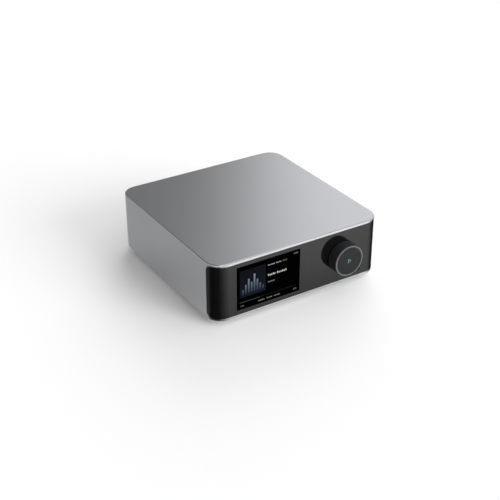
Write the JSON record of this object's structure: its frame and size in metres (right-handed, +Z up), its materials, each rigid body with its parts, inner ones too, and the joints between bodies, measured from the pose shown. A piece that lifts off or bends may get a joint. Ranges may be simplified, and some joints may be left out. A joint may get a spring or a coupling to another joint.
{
  "type": "network music streamer",
  "caption": "Square aluminium network music streamer with a wrap-round gloss fascia, colour display, volume knob round a push button, and audio and data sockets at the back.",
  "frame": {"origin": "on the table under the middle of the square case", "axes": "+Z up, +Y from the fascia to the back, +X to the right seen from the front"},
  "size_m": [0.206, 0.2324, 0.072],
  "materials": {
    "anodised_aluminium": "bead-blasted and anodised",
    "gloss_black": "gloss moulded",
    "rear_black": "fine spark texture",
    "base_black": "satin moulded",
    "foot_rubber": "matt",
    "screw_black": "black oxide",
    "screw_steel": "zinc plated",
    "cover_glass": "polished",
    "display_cell": "lit picture",
    "white_moulding": "satin moulded",
    "bright_steel": "tin plated",
    "knob_black": "black anodised",
    "bright_bezel": "diamond cut",
    "black_moulding": "satin moulded",
    "post_aluminium": "plain",
    "button_black": "black anodised, spun",
    "light_pipe": "lit",
    "gold_plate": "gold plated",
    "socket_white": "moulded",
    "socket_red": "moulded",
    "socket_black": "moulded",
    "socket_orange": "moulded",
    "nickel_plate": "nickel plated",
    "board_green": "solder mask",
    "board_tan": "bare laminate",
    "capacitor_sleeve": "plastic sleeve",
    "winding": "varnished winding",
    "wire_red": "insulated",
    "flat_cable": "film"
  },
  "bodies": {
    "chassis": {"aluminium_case": "anodised_aluminium", "front_fascia": "gloss_black", "rear_panel": "rear_black", "base_plate": "base_black", "rubber_feet": "foot_rubber", "base_screws": "screw_black", "display_glass": "cover_glass", "display_cell": "display_cell", "backlight_tray": "white_moulding", "display_bracket": "bright_steel", "bracket_screws": "screw_steel", "encoder_body": "black_moulding", "knob_post": "post_aluminium", "knob_board": "board_green", "knob_screws": "screw_steel", "push_switch": "black_moulding", "headphone_socket": "black_moulding", "rca_housings": "black_moulding", "rca_barrels": "gold_plate", "rca_white": "socket_white", "rca_red": "socket_red", "rca_black": "socket_black", "rca_orange": "socket_orange", "rear_screws": "screw_black", "optical_sockets": "black_moulding", "hdmi_shell": "nickel_plate", "hdmi_tongue": "black_moulding", "usb_shell": "nickel_plate", "usb_tongue": "white_moulding", "network_socket": "nickel_plate", "network_contacts": "gold_plate", "trigger_socket": "black_moulding", "trigger_nut": "nickel_plate", "mains_inlet": "black_moulding", "mains_pins": "nickel_plate", "ground_stud": "nickel_plate", "main_board": "board_green", "power_board": "board_tan", "board_screws": "screw_steel", "processor_shield": "bright_steel", "heat_sink": "post_aluminium", "audio_capacitors": "capacitor_sleeve", "transformer": "winding", "bulk_capacitor": "capacitor_sleeve", "line_choke": "winding", "power_wires": "wire_red", "display_ribbon": "flat_cable", "knob_ribbon": "flat_cable", "ribbon_sockets": "white_moulding", "antennas": "black_moulding"},
    "volume_knob": {"knob_ring": "knob_black", "knob_bezel": "bright_bezel", "encoder_rotor": "black_moulding", "retaining_clip": "bright_steel"},
    "push_button": {"play_button": "button_black", "play_icon": "light_pipe", "switch_plunger": "white_moulding"},
    "out_shutter": {"optical_out_flap": "black_moulding"},
    "in_shutter": {"optical_in_flap": "black_moulding"},
    "thumb_nut": {"ground_nut": "gold_plate"}
  },
  "joints": [
    {"name": "knob_turn", "type": "hinge", "parent": "chassis", "child": "volume_knob", "pos_m": [0.0533, -0.1028, 0.03925], "axis": [0, 1, 0], "continuous": true},
    {"name": "play_press", "type": "slide", "parent": "chassis", "child": "push_button", "axis": [0, 1, 0], "range_m": [0, 0.0006], "stiffness_N_per_m": 900},
    {"name": "optical_out_shutter", "type": "hinge", "parent": "chassis", "child": "out_shutter", "pos_m": [0.0154, 0.1013, 0.0464], "axis": [-1, 0, 0], "range_deg": [0, 85], "stiffness_Nm_per_rad": 0.001},
    {"name": "optical_in_shutter", "type": "hinge", "parent": "chassis", "child": "in_shutter", "pos_m": [0.0154, 0.1013, 0.0304], "axis": [-1, 0, 0], "range_deg": [0, 85], "stiffness_Nm_per_rad": 0.001},
    {"name": "ground_turn", "type": "hinge", "parent": "chassis", "child": "thumb_nut", "pos_m": [0.0008, 0.1075, 0.0481], "axis": [0, 1, 0], "continuous": true}
  ]
}
